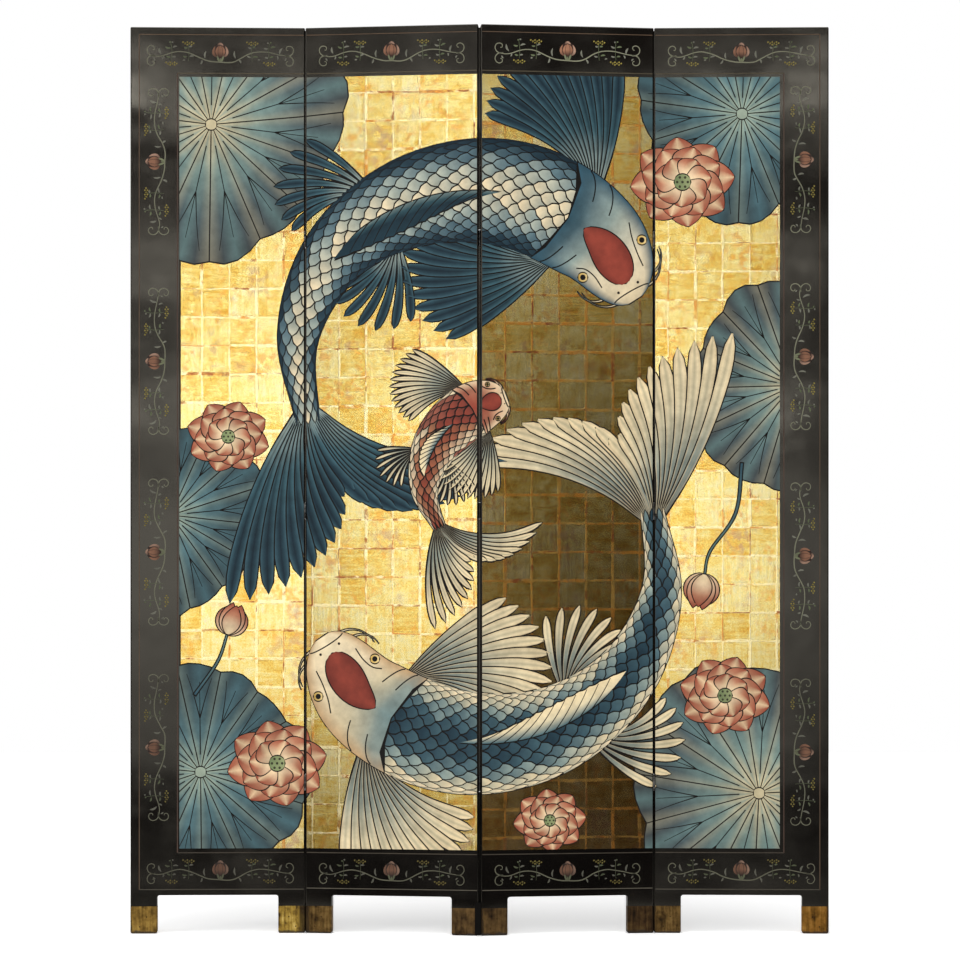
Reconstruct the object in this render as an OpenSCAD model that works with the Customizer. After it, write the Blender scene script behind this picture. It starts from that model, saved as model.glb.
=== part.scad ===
// Four-panel lacquer folding screen, 84 inches tall.
// Each panel is a light tenoned frame between two boards, standing on two legs with brass shoes.
// Origin: on the floor under the middle of the screen's box. +X runs along the screen, from panel 1
// on the left to panel 4 on the right, the gilt fronts face -Y, and +Z is up. Millimetres and degrees.

/* [Panels] */
// Height of a panel, from the floor to its top edge
panel_h = 2134; // [1800:1:2300]
// Width of a panel
panel_w = 410.5; // [360:0.5:460]
// Thickness of a panel over its two boards
panel_t = 22; // [20:0.5:28]
// Thickness of the front board, and of the back board
board_t = 4; // [3.5:0.5:5]
// Radius of the rounded edges down the sides and along the top
edge_r = 3; // [1:0.25:3.25]
// Radius of a panel's top corners, seen from the front
corner_r = 4; // [2:0.5:10]

/* [Fold] */
// Turn of the two inner panels out of the screen's line
inner_turn = 7; // [3:0.5:40]
// Turn of the two outer panels out of the screen's line
outer_turn = 1.8; // [0.5:0.1:30]

/* [Frame in the panel] */
// Width of a stile, and of the leg at its foot
stile_w = 63; // [50:1:80]
// Height of the top rail
top_rail_h = 70; // [50:1:100]
// Height of the bottom rail
bottom_rail_h = 105; // [70:1:150]
// Height of a middle rail
middle_rail_h = 45; // [30:1:60]
// Number of middle rails
middle_rails = 3; // [1:1:5]
// Length of a rail's tenon
tenon_l = 14; // [8:1:25]
// Thickness of a rail's tenon
tenon_t = 6; // [4:0.5:8]
// Shoulder above and below a tenon
tenon_shoulder = 8; // [4:1:12]
// Space round a tenon in its mortise
tenon_fit = 0.15; // [0.05:0.05:0.4]

/* [Gilt ground] */
// Width of the black border down the screen's two outer sides
side_border = 115; // [80:1:150]
// Height of the black border along the top
top_border = 117; // [80:1:160]
// Height of the black border above the gap between the legs
bottom_border = 110; // [80:1:160]
// Thickness of the gilt ground, which lies flush in the front board
ground_t = 0.6; // [0.3:0.1:1.2]

/* [Legs and brass shoes] */
// Height of the gap between a panel's legs
leg_gap_h = 90; // [80:1:130]
// Radius in the top corners of that gap
leg_gap_r = 6; // [2:0.5:12]
// Height of a shoe
shoe_h = 64; // [45:1:72]
// Thickness of the shoe's sheet
shoe_t = 1.25; // [0.9:0.05:2]
// Height by which a shoe stands proud of its leg, the rest of the sheet being let in
shoe_proud = 0.05; // [0.02:0.01:0.5]
// Radius of a shoe's bottom corners, seen from the front
shoe_r = 5.5; // [3:0.5:9]
// Space between the leg's end and its shoe
shoe_fit = 0.05; // [0.02:0.01:0.1]
// Space from a shoe to the middle of the joint beside it
shoe_gap = 0.2; // [0.1:0.05:1]
// Diameter of a tack's domed head
tack_head_d = 3.4; // [2.5:0.1:5]
// Height of a tack's head
tack_head_h = 0.7; // [0.4:0.05:1]
// Diameter of a tack's shank
tack_d = 1.3; // [0.9:0.1:1.8]
// Length of a tack's shank
tack_l = 9; // [4:0.5:10]
// Distance of the lower tack from the leg's outer side
low_tack_x = 22; // [8:1:30]
// Height of the lower tack
low_tack_z = 16; // [10:1:24]
// Distance of the upper tack from the leg's outer side
high_tack_x = 38; // [20:1:42]
// Height of the upper tack
high_tack_z = 39; // [32:1:40]

/* [Hinges] */
// Hinges on each joint
hinges = 3; // [2:1:5]
// Height of the lowest hinge's middle
low_hinge_z = 355; // [200:1:500]
// Distance from a panel's top down to the highest hinge's middle
high_hinge_drop = 499; // [200:1:600]
// Length of a hinge along its pin
hinge_l = 38; // [32:1:70]
// Knuckles on a hinge
knuckles = 5; // [3:2:7]
// Space between two knuckles
knuckle_gap = 0.3; // [0.1:0.05:0.6]
// Diameter of a hinge pin
pin_d = 2.2; // [1.8:0.1:3]
// Running space round the pin in the knuckles that turn on it
pin_fit = 0.05; // [0.02:0.01:0.09]
// Wall of a knuckle round its pin
knuckle_wall = 1.1; // [0.8:0.1:1.6]
// Width of a leaf that is let into a panel's edge
leaf_w = 15; // [13:0.5:16]
// Thickness of a leaf
leaf_t = 1.3; // [1.2:0.05:1.8]
// Radius of a leaf's corners
leaf_r = 6; // [1:0.5:7]
// Space round a leaf in its recess
leaf_fit = 0.1; // [0.05:0.05:0.3]
// Space between a knuckle and the panel beside it
knuckle_clear = 0.15; // [0.1:0.05:0.5]
// Space left between the tack heads of two panels that are folded together
fold_clear = 0.7; // [0.3:0.1:2]
// Diameter of a hinge screw's head
screw_head_d = 4.8; // [4:0.1:5]
// Diameter of a hinge screw's shank
screw_d = 2.6; // [2.6:0.1:3]
// Length of a hinge screw
screw_l = 18; // [10:1:25]
// Distance between the two screws of a leaf
screw_pitch = 22; // [16:1:24]
// Space round a screw or tack in its hole
screw_fit = 0.05; // [0.02:0.01:0.1]
// Width of the slot in a screw's head
slot_w = 0.7; // [0.4:0.1:1]
// Depth of the slot in a screw's head
slot_h = 0.5; // [0.2:0.1:0.8]

/* [Tongues that keep light out of the joints] */
// Thickness of a tongue
tongue_t = 2; // [1.5:0.1:3]
// Length by which a tongue stands out of its panel's edge
tongue_out = 3.4; // [2.8:0.1:5]
// Depth to which a tongue is glued into its panel's edge
tongue_in = 6; // [4:0.5:10]
// Distance of a tongue from the panel's face on the hinges' side
tongue_y = 5.4; // [5.4:0.1:6.5]
// Space round a tongue where it is glued
tongue_fit = 0.05; // [0.02:0.01:0.1]
// Space left round a tongue in the groove that it swings out of
tongue_clear = 0.3; // [0.2:0.05:0.6]
// Space between a tongue's end and a hinge's leaf
tongue_end = 0.5; // [0.3:0.1:2]
// Distance of the tongues' ends from the shoes and from the panels' top
tongue_drop = 6; // [4:1:30]

/* [Hidden] */
$fn = 48;
PANELS = [1, 2, 3, 4];
JOINTS = [1, 2, 3];
// Depth to which the sheet of a shoe is let into the leg
shoe_inset = shoe_t - shoe_proud;
// Half of the gap between two panels that stand in line
half_gap = shoe_proud + shoe_gap;
knuckle_r = pin_d / 2 + knuckle_wall;
// How far a hinge's axis stands out of the panels' faces, so that the shoes clear when folded
axis_out = max(knuckle_r + knuckle_clear, shoe_proud + tack_head_h + fold_clear);
// Each panel's turn about Z, the screen seen from above
turns = [outer_turn, -inner_turn, inner_turn, -outer_turn];
frame_t = panel_t - 2 * board_t;
rail_l = panel_w - 2 * stile_w;
ground_low = leg_gap_h + bottom_border;
ground_high = panel_h - top_border;
hinge_step = (panel_h - high_hinge_drop - low_hinge_z) / (hinges - 1);
knuckle_step = (hinge_l + knuckle_gap) / knuckles;
screw_cone_h = (screw_head_d - screw_d) / 2;
middle_low = leg_gap_h + bottom_rail_h;
middle_step = (panel_h - top_rail_h - middle_low) / (middle_rails + 1);
// Distance of a tongue's outer corner from the hinge axis, and how much wider its swing makes the groove
tongue_far = axis_out + tongue_y + tongue_t;
tongue_swing = norm([tongue_out - half_gap, tongue_far]) - tongue_far;
// Length by which a cutting shape runs past what it cuts
past = 1;

lacquer = [0.1, 0.095, 0.09];
gilt = [0.87, 0.74, 0.4];
brass = [0.6, 0.49, 0.24];
bare_wood = [0.72, 0.58, 0.4];
dark_steel = [0.3, 0.3, 0.31];

// Joints 1 and 3 fold front to front, so their axes stand before the fronts; joint 2's is behind.
function axis_y(joint) = joint == 2 ? panel_t + axis_out : -axis_out;
function turned(p, a) = [p.x * cos(a) - p.y * sin(a), p.x * sin(a) + p.y * cos(a)];
function turn(i) = turns[i - 1];

// Panels are chained outwards from joint 2, whose axis is first put at [0, 0].
function raw_corner(i) =
    i == 2 ? -turned([panel_w + half_gap, axis_y(2)], turn(2)) :
    i == 3 ? -turned([-half_gap, axis_y(2)], turn(3)) :
    i == 1 ? raw_joint(1) - turned([panel_w + half_gap, axis_y(1)], turn(1)) :
    raw_joint(3) - turned([-half_gap, axis_y(3)], turn(4));
function raw_joint(j) =
    j == 1 ? raw_corner(2) + turned([-half_gap, axis_y(1)], turn(2)) :
    j == 3 ? raw_corner(3) + turned([panel_w + half_gap, axis_y(3)], turn(3)) :
    [0, 0];

// The rounded corners of the shoes are what reaches furthest to the front and to the back.
shoe_corner_y = [for (i = PANELS, x = [edge_r, panel_w - edge_r], y = [edge_r, panel_t - edge_r])
    (raw_corner(i) + turned([x, y], turn(i))).y];
shoe_corner_r = edge_r + shoe_proud;
middle_y = (min(shoe_corner_y) + max(shoe_corner_y)) / 2;
function panel_corner(i) = raw_corner(i) - [0, middle_y];
function joint_place(j) = raw_joint(j) - [0, middle_y];
function hinge_z(k) = low_hinge_z + k * hinge_step;
function has_right_joint(i) = i < 4;
function has_left_joint(i) = i > 1;

// Puts a panel's parts, drawn with the panel's front left bottom corner at zero, in their place
module in_panel(i) {
    place = panel_corner(i);
    translate([place.x, place.y, 0]) rotate([0, 0, turn(i)]) children();
}

// Turns a part that is drawn for a panel's left side into the one for its right side
module at_side(right) {
    translate([right ? panel_w : 0, 0, 0]) mirror([right ? 1 : 0, 0, 0]) children();
}

// Turns a part that is drawn at a panel's front into the one at its back
module at_face(back) {
    translate([0, back ? panel_t : 0, 0]) mirror([0, back ? 1 : 0, 0]) children();
}

// What lies outside a quarter circle in a corner at zero, with the piece towards +x and +y
module corner_waste(r) {
    difference() {
        translate([-past, -past]) square(r + past);
        translate([r, r]) circle(r);
    }
}

// A rectangle with a radius for each corner: bottom left, bottom right, top right, top left
module rounded_rectangle(w, h, radii) {
    difference() {
        square([w, h]);
        if (radii[0] > 0) corner_waste(radii[0]);
        if (radii[1] > 0) translate([w, 0]) mirror([1, 0]) corner_waste(radii[1]);
        if (radii[2] > 0) translate([w, h]) rotate(180) corner_waste(radii[2]);
        if (radii[3] > 0) translate([0, h]) mirror([0, 1]) corner_waste(radii[3]);
    }
}

// Extrusions of an outline that is drawn in the XZ and in the YZ plane
module along_y(l) { translate([0, l, 0]) rotate([90, 0, 0]) linear_extrude(l) children(); }
module along_x(l) { rotate([90, 0, 90]) linear_extrude(l) children(); }

// The leaf of one hinge seen along X, from the axis into the panel, with height as the second axis
module leaf_outline(space) {
    w = axis_out + leaf_w + space;
    translate([0, -hinge_l / 2 - space])
        rounded_rectangle(w, hinge_l + 2 * space, [0, leaf_r + space, leaf_r + space, 0]);
}

// Recesses for a joint's leaves in the left side of a panel
module leaf_recesses(joint) {
    at_face(joint == 2) for (k = [0 : hinges - 1])
        translate([-past, -axis_out, hinge_z(k)]) along_x(leaf_t + past) leaf_outline(leaf_fit);
}

// The recesses that a panel has on its two sides
module panel_recesses(i) {
    if (has_left_joint(i)) leaf_recesses(i - 1);
    if (has_right_joint(i)) at_side(true) leaf_recesses(i);
}

// The two screw places of each leaf, in the left side of a panel, with X into the wood
module at_screws(joint) {
    at_face(joint == 2) for (k = [0 : hinges - 1], s = [-1, 1])
        translate([0, leaf_w / 2, hinge_z(k) + s * screw_pitch / 2]) rotate([0, 90, 0]) children();
}

// Lower and upper end of the stretch between two hinges, or past the last one
function stretch(k) = [
    k == 0 ? shoe_h + tongue_drop : hinge_z(k - 1) + hinge_l / 2 + tongue_end,
    k == hinges ? panel_h - tongue_drop : hinge_z(k) - hinge_l / 2 - tongue_end];

// Bars along a joint in the left side of a panel, from x0 to x1 and y0 to y1, longer by space at each end
module stretch_bars(joint, x0, x1, y0, y1, space) {
    at_face(joint == 2) for (k = [0 : hinges])
        translate([x0, y0, stretch(k)[0] - space])
            cube([x1 - x0, y1 - y0, stretch(k)[1] - stretch(k)[0] + 2 * space]);
}

// The slot in which a joint's tongues are glued
module tongue_slot(joint) {
    stretch_bars(joint, -past, tongue_in + tongue_fit,
        tongue_y - tongue_fit, tongue_y + tongue_t + tongue_fit, tongue_fit);
}

// The groove of the next panel, with room for the tongues to swing out
module tongue_groove(joint) {
    stretch_bars(joint, -past, tongue_out - 2 * half_gap + tongue_clear,
        tongue_y - tongue_clear, tongue_y + tongue_t + tongue_swing + tongue_clear, tongue_clear);
}

// A board, drawn as the front one: its outer face is at y = 0
module board(i) {
    reach = panel_h - leg_gap_h;
    intersection() {
        translate([0, 0, leg_gap_h]) linear_extrude(reach)
            rounded_rectangle(panel_w, board_t, [edge_r, edge_r, 0, 0]);
        translate([0, 0, leg_gap_h]) along_y(board_t)
            rounded_rectangle(panel_w, reach, [0, 0, corner_r, corner_r]);
        translate([0, 0, leg_gap_h]) along_x(panel_w)
            rounded_rectangle(board_t, reach, [0, 0, 0, edge_r]);
    }
}

// The gilt ground runs to the rounded edge at a joint, and to the border on the screen's outer sides
module ground_block(i, t) {
    x0 = has_left_joint(i) ? edge_r : side_border;
    x1 = has_right_joint(i) ? panel_w - edge_r : panel_w - side_border;
    translate([x0, ground_t - t, ground_low]) cube([x1 - x0, t, ground_high - ground_low]);
}

module front_board(i) {
    color(lacquer) in_panel(i) difference() {
        board(i);
        ground_block(i, ground_t + past);
        panel_recesses(i);
    }
}

module back_board(i) {
    color(lacquer) in_panel(i) difference() {
        at_face(true) board(i);
        panel_recesses(i);
    }
}

module gilt_ground(i) {
    color(gilt) in_panel(i) ground_block(i, ground_t);
}

// A leg's section, grown by d: rounded on the panel's outer side, square beside the gap
module leg_section(d, inner_r) {
    outer_r = edge_r + d;
    translate([-d, -d])
        rounded_rectangle(stile_w + 2 * d, panel_t + 2 * d, [outer_r, inner_r, inner_r, outer_r]);
}

// The end of a leg, grown by d and with its bottom corners rounded
module leg_end(d, low, high, inner_r) {
    r = shoe_r - shoe_proud + d;
    intersection() {
        translate([0, 0, low]) linear_extrude(high - low) leg_section(d, inner_r);
        translate([-d, -d, low]) along_y(panel_t + 2 * d)
            rounded_rectangle(stile_w + 2 * d, high - low, [r, r, 0, 0]);
    }
}

// Tack places on both faces of the left leg, with Z out of the face
module at_tacks(d) {
    for (back = [false, true], tack = [[low_tack_x, low_tack_z], [high_tack_x, high_tack_z]])
        at_face(back) translate([tack.x, -d, tack.y]) rotate([90, 0, 0]) children();
}

// Places of the rails: height of each one's lower edge, and its height
rails = concat([[leg_gap_h, bottom_rail_h]],
    [for (k = [1 : middle_rails]) [middle_low + k * middle_step - middle_rail_h / 2, middle_rail_h]],
    [[panel_h - top_rail_h, top_rail_h]]);

// A rail's tenons, or their mortises where they are given some space
module tenons(rail, space) {
    reach = tenon_l + space;
    translate([stile_w - reach, (panel_t - tenon_t) / 2 - space, rail[0] + tenon_shoulder - space])
        cube([rail_l + 2 * reach, tenon_t + 2 * space, rail[1] - 2 * tenon_shoulder + 2 * space]);
}

// A stile, drawn as the left one: a frame member above, and a leg of the panel's full thickness below
module stile_body() {
    // The part between the two boards
    translate([0, board_t, leg_gap_h]) along_y(frame_t)
        rounded_rectangle(stile_w, panel_h - leg_gap_h, [0, 0, 0, corner_r]);
    // The leg, with the curve that fills the corner under the bottom rail
    intersection() {
        translate([0, 0, shoe_h]) linear_extrude(leg_gap_h - shoe_h)
            rounded_rectangle(stile_w + leg_gap_r, panel_t, [edge_r, 0, 0, edge_r]);
        translate([0, 0, shoe_h]) along_y(panel_t) {
            square([stile_w, leg_gap_h - shoe_h]);
            translate([stile_w, leg_gap_h - shoe_h]) mirror([0, 1]) difference() {
                square(leg_gap_r);
                translate([leg_gap_r, leg_gap_r]) circle(leg_gap_r);
            }
        }
    }
    // The end that the shoe holds
    leg_end(-shoe_inset - shoe_fit, shoe_t, shoe_h, 0);
    // The heart of the stile, which runs on through all three stretches
    translate([stile_w / 4, board_t, shoe_h / 2]) cube([stile_w / 2, frame_t, leg_gap_h]);
}

module stile(i, right) {
    jointed = right ? has_right_joint(i) : has_left_joint(i);
    joint = right ? i : i - 1;
    color(lacquer) in_panel(i) difference() {
        at_side(right) stile_body();
        at_side(right) at_tacks(shoe_proud)
            translate([0, 0, -tack_l - screw_fit]) cylinder(d = tack_d + 2 * screw_fit, h = tack_l + 2 * past);
        for (rail = rails) tenons(rail, tenon_fit);
        if (jointed) at_side(right) {
            leaf_recesses(joint);
            at_screws(joint) cylinder(d = screw_d + 2 * screw_fit, h = screw_l + screw_fit);
            if (right) tongue_slot(joint); else tongue_groove(joint);
        }
    }
}

module rail_body(rail) {
    translate([stile_w, board_t, rail[0]]) cube([rail_l, frame_t, rail[1]]);
    tenons(rail, 0);
}

module bottom_rail(i) { color(lacquer) in_panel(i) rail_body(rails[0]); }
module top_rail(i) { color(lacquer) in_panel(i) rail_body(rails[middle_rails + 1]); }
module middle_rail_set(i) {
    color(bare_wood) in_panel(i) for (k = [1 : middle_rails]) rail_body(rails[k]);
}

// A shoe folded from brass sheet, closed under the leg
module shoe(i, right) {
    color(brass) in_panel(i) at_side(right) difference() {
        leg_end(shoe_proud, 0, shoe_h, shoe_t);
        leg_end(-shoe_inset, shoe_t, shoe_h + past, 0);
        at_tacks(shoe_proud)
            translate([0, 0, -shoe_t - past]) cylinder(d = tack_d + 2 * screw_fit, h = shoe_t + 2 * past);
    }
}

// A round-headed tack, its head's underside at zero and its shank down -Z
module tack() {
    r = tack_head_d / 2;
    dome_r = (r * r + tack_head_h * tack_head_h) / (2 * tack_head_h);
    rotate_extrude() union() {
        intersection() {
            translate([0, tack_head_h - dome_r]) circle(dome_r);
            square([r + past, tack_head_h]);
        }
        translate([0, -tack_l]) square([tack_d / 2, tack_l + tack_head_h / 2]);
    }
}

module shoe_tacks(i) {
    color(brass) in_panel(i) for (right = [false, true]) at_side(right) at_tacks(shoe_proud) tack();
}

// A countersunk screw with a slotted head, the head's face at zero and the shank up +Z
module screw() {
    difference() {
        rotate_extrude() polygon([[0, 0], [screw_head_d / 2, 0], [screw_d / 2, screw_cone_h],
            [screw_d / 2, screw_l - screw_d], [0, screw_l]]);
        translate([-screw_head_d, -slot_w / 2, -past]) cube([2 * screw_head_d, slot_w, slot_h + past]);
    }
}

module hinge_screws(i) {
    color(dark_steel) in_panel(i) {
        if (has_left_joint(i)) at_screws(i - 1) screw();
        if (has_right_joint(i)) at_side(true) at_screws(i) screw();
    }
}

// Puts a joint's hinges, drawn with the axis at zero and the leaves running to +y, in their place
module at_hinges(joint, a) {
    place = joint_place(joint);
    for (k = [0 : hinges - 1]) translate([place.x, place.y, hinge_z(k)]) rotate([0, 0, a])
        mirror([0, joint == 2 ? 1 : 0, 0]) children();
}

// One hinge's leaf with its knuckles, drawn as the left one; the leaves' knuckles take turns
module leaf(first) {
    bore_r = pin_d / 2 + (first == 0 ? screw_fit / 2 : pin_fit);
    knuckle_h = knuckle_step - knuckle_gap;
    difference() {
        union() {
            translate([-half_gap - leaf_t, 0, 0]) along_x(leaf_t) leaf_outline(0);
            for (k = [first : 2 : knuckles - 1])
                translate([0, 0, -hinge_l / 2 + k * knuckle_step]) {
                    cylinder(r = knuckle_r, h = knuckle_h);
                    // The neck that joins the knuckle to the leaf
                    translate([-half_gap - leaf_t, knuckle_r - leaf_t, 0])
                        cube([half_gap + leaf_t, leaf_t, knuckle_h]);
                }
        }
        // Room for the knuckles of the other leaf
        for (k = [1 - first : 2 : knuckles - 1])
            translate([-half_gap - leaf_t - past, -past, -hinge_l / 2 + k * knuckle_step - knuckle_gap])
                cube([leaf_t + 2 * past, past + knuckle_r + knuckle_clear, knuckle_step + knuckle_gap]);
        translate([0, 0, -hinge_l / 2 - past]) cylinder(r = bore_r, h = hinge_l + 2 * past);
        for (s = [-1, 1])
            translate([-half_gap, axis_out + leaf_w / 2, s * screw_pitch / 2]) rotate([0, -90, 0]) {
                cylinder(d = screw_d + 2 * screw_fit, h = leaf_t + past);
                cylinder(d1 = screw_head_d + 2 * screw_fit, d2 = screw_d + 2 * screw_fit, h = screw_cone_h);
            }
    }
}

module left_leaves(joint) {
    color(dark_steel) at_hinges(joint, turn(joint)) leaf(0);
}

module right_leaves(joint) {
    color(dark_steel) at_hinges(joint, turn(joint + 1)) mirror([1, 0, 0]) leaf(1);
}

module hinge_pins(joint) {
    color(dark_steel) at_hinges(joint, 0)
        translate([0, 0, -hinge_l / 2]) cylinder(d = pin_d, h = hinge_l);
}

module tongues(joint) {
    color(lacquer) in_panel(joint) at_side(true)
        stretch_bars(joint, -tongue_out, tongue_in, tongue_y, tongue_y + tongue_t, 0);
}

for (i = PANELS) {
    p = str("panel_", i, "_");
    stile(i, false);
    stile(i, true);
    top_rail(i);
    middle_rail_set(i);
    bottom_rail(i);
    front_board(i);
    back_board(i);
    gilt_ground(i);
    shoe(i, false);
    shoe(i, true);
    shoe_tacks(i);
    hinge_screws(i);
}

for (j = JOINTS) {
    p = str("joint_", j, "_");
    left_leaves(j);
    right_leaves(j);
    hinge_pins(j);
    tongues(j);
}
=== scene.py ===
import math

import bmesh
import bpy
import numpy as np
from mathutils import Matrix, Vector


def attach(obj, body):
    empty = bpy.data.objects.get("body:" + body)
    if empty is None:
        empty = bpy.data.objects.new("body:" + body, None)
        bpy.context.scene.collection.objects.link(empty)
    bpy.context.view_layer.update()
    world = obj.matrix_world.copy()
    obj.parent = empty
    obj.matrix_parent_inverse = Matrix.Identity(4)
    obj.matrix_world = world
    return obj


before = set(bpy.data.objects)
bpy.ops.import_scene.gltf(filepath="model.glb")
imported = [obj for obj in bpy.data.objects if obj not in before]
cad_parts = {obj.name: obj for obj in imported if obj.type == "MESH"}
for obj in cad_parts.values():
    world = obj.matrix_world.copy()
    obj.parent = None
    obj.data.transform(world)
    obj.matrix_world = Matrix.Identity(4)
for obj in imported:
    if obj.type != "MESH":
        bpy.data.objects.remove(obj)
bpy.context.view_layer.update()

mm = 0.001
panels = [1, 2, 3, 4]


# colours and nodes


def linear(hexColour):
    channels = [int(hexColour[k:k + 2], 16) / 255 for k in (1, 3, 5)]
    return [c / 12.92 if c <= 0.04045 else ((c + 0.055) / 1.055) ** 2.4 for c in channels] + [1.0]


def addNode(tree, kind, inputs=None, stops=None, **settings):
    # each input is a value, a hex colour, or comes from another node
    node = tree.nodes.new("ShaderNode" + kind)
    for key, value in settings.items():
        setattr(node, key, value)
    for key, value in (inputs or {}).items():
        value = value.outputs[0] if isinstance(value, bpy.types.Node) else value
        if isinstance(value, bpy.types.NodeSocket):
            tree.links.new(value, node.inputs[key])
        else:
            node.inputs[key].default_value = linear(value) if isinstance(value, str) else value
    if stops:
        bar = node.color_ramp.elements
        for k in (0, -1):
            bar[k].position, bar[k].color = stops[k][0], linear(stops[k][1])
        for place, colour in stops[1:-1]:
            bar.new(place).color = linear(colour)
    return node


def maths(tree, kind, *values):
    return addNode(tree, "Math", dict(enumerate(values)), operation=kind)


def vectors(tree, kind, *values):
    return addNode(tree, "VectorMath", dict(enumerate(values)), operation=kind)


def clouds(tree, coords, scale, detail=2.0, rough=0.5):
    # soft noise, with that many clouds to the metre
    return addNode(tree, "TexNoise", {"Vector": coords, "Scale": scale, "Detail": detail, "Roughness": rough})


def drawnOut(tree, coords, stretch, detail):
    # noise with its own number of clouds to the metre along each axis
    return clouds(tree, addNode(tree, "Mapping", {"Vector": coords, "Scale": stretch}), 1, detail)


def spread(tree, source, low, high, start, end, kind="LINEAR"):
    # what lies between low and high is laid out from start to end
    return addNode(tree, "MapRange", {"Value": source, "From Min": low, "From Max": high,
                                      "To Min": start, "To Max": end}, interpolation_type=kind)


def eased(tree, source, low, high, start=0.0, end=1.0):
    return spread(tree, source, low, high, start, end, "SMOOTHSTEP")


def blended(tree, share, first, second):
    return addNode(tree, "Mix", {0: share, 6: first, 7: second}, data_type="RGBA").outputs[2]


def ownCoords(tree):
    return addNode(tree, "TexCoord").outputs["Object"]


def startMaterial(name):
    material = bpy.data.materials.new(name)
    material.use_nodes = True
    material.node_tree.nodes.clear()
    return material, material.node_tree


def finished(material, surface, inputs):
    # gives the material its surface
    tree = material.node_tree
    addNode(tree, "OutputMaterial", {"Surface": addNode(tree, surface, inputs)})
    return material


def dress(piece, material):
    piece.data.materials.clear()
    piece.data.materials.append(material)


# where the panels stand


def panelPlace(i):
    # the gilt ground's front edge gives the panel's turn, and the front board gives its corner
    ground, board, back = [np.array([v.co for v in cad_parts[f"panel_{i}_{name}"].data.vertices])
                           for name in ("gilt_ground", "front_board", "back_board")]
    left = ground[ground[:, 0] < ground[:, 0].min() + 2 * mm]
    right = ground[ground[:, 0] > ground[:, 0].max() - 2 * mm]
    along = right[right[:, 1].argmin(), :2] - left[left[:, 1].argmin(), :2]
    along = along / np.linalg.norm(along)
    inward = np.array([-along[1], along[0]])
    x0, x1 = (board[:, :2] @ along).min(), (board[:, :2] @ along).max()
    y0 = (board[:, :2] @ inward).min()
    groundX = ground[:, :2] @ along - x0
    corner, turn = along * x0 + inward * y0, math.atan2(along[1], along[0])
    return {"place": Matrix.Translation((*corner, 0)) @ Matrix.Rotation(turn, 4, "Z"), "corner": corner,
            "turn": turn, "width": x1 - x0, "depth": (back[:, :2] @ inward).max() - y0,
            "low": board[:, 2].min(), "high": board[:, 2].max(),
            "groundLeft": groundX.min(), "groundRight": groundX.max(),
            "groundLow": ground[:, 2].min(), "groundHigh": ground[:, 2].max()}


panelPlaces = {i: panelPlace(i) for i in panels}


def panelCoords(tree, i):
    # the panel's own x along its width, y into it and z up, in metres
    spot = panelPlaces[i]
    return addNode(tree, "Mapping", {"Vector": ownCoords(tree), "Location": (*spot["corner"], 0),
                                     "Rotation": (0, 0, spot["turn"])}, vector_type="TEXTURE")


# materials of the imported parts

lacquer = {"black": "#0c0a09", "haze": "#1d1a16", "hazed": 0.3, "amber": "#fff7e4", "refraction": 1.52,
           "polished": 0.07, "dulled": 0.16, "waveLength": 0.16, "waveHeight": 0.0016, "grit": 420,
           "gritHeight": 0.00004}


def blackLacquer():
    # Polished black lacquer over gesso: a warm black that mirrors softly, hazed where years have dulled it.
    material, tree = startMaterial("blackLacquer")
    coords = ownCoords(tree)
    wave = clouds(tree, coords, 1 / lacquer["waveLength"], 1.5)
    grit = clouds(tree, coords, lacquer["grit"], 3)
    cloud = clouds(tree, coords, 5, 6, 0.62)
    haze = eased(tree, cloud, 0.5, 0.75, 0.0, lacquer["hazed"])
    slow = addNode(tree, "Bump", {"Height": wave, "Strength": 1.0, "Distance": lacquer["waveHeight"]})
    fine = addNode(tree, "Bump", {"Height": grit, "Strength": 0.25, "Distance": lacquer["gritHeight"],
                                  "Normal": slow})
    return finished(material, "BsdfPrincipled", {
        "Base Color": blended(tree, haze, lacquer["black"], lacquer["haze"]), "Normal": fine,
        "Roughness": spread(tree, cloud, 0.3, 0.7, lacquer["polished"], lacquer["dulled"]),
        "IOR": lacquer["refraction"], "Specular Tint": lacquer["amber"]})


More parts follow.
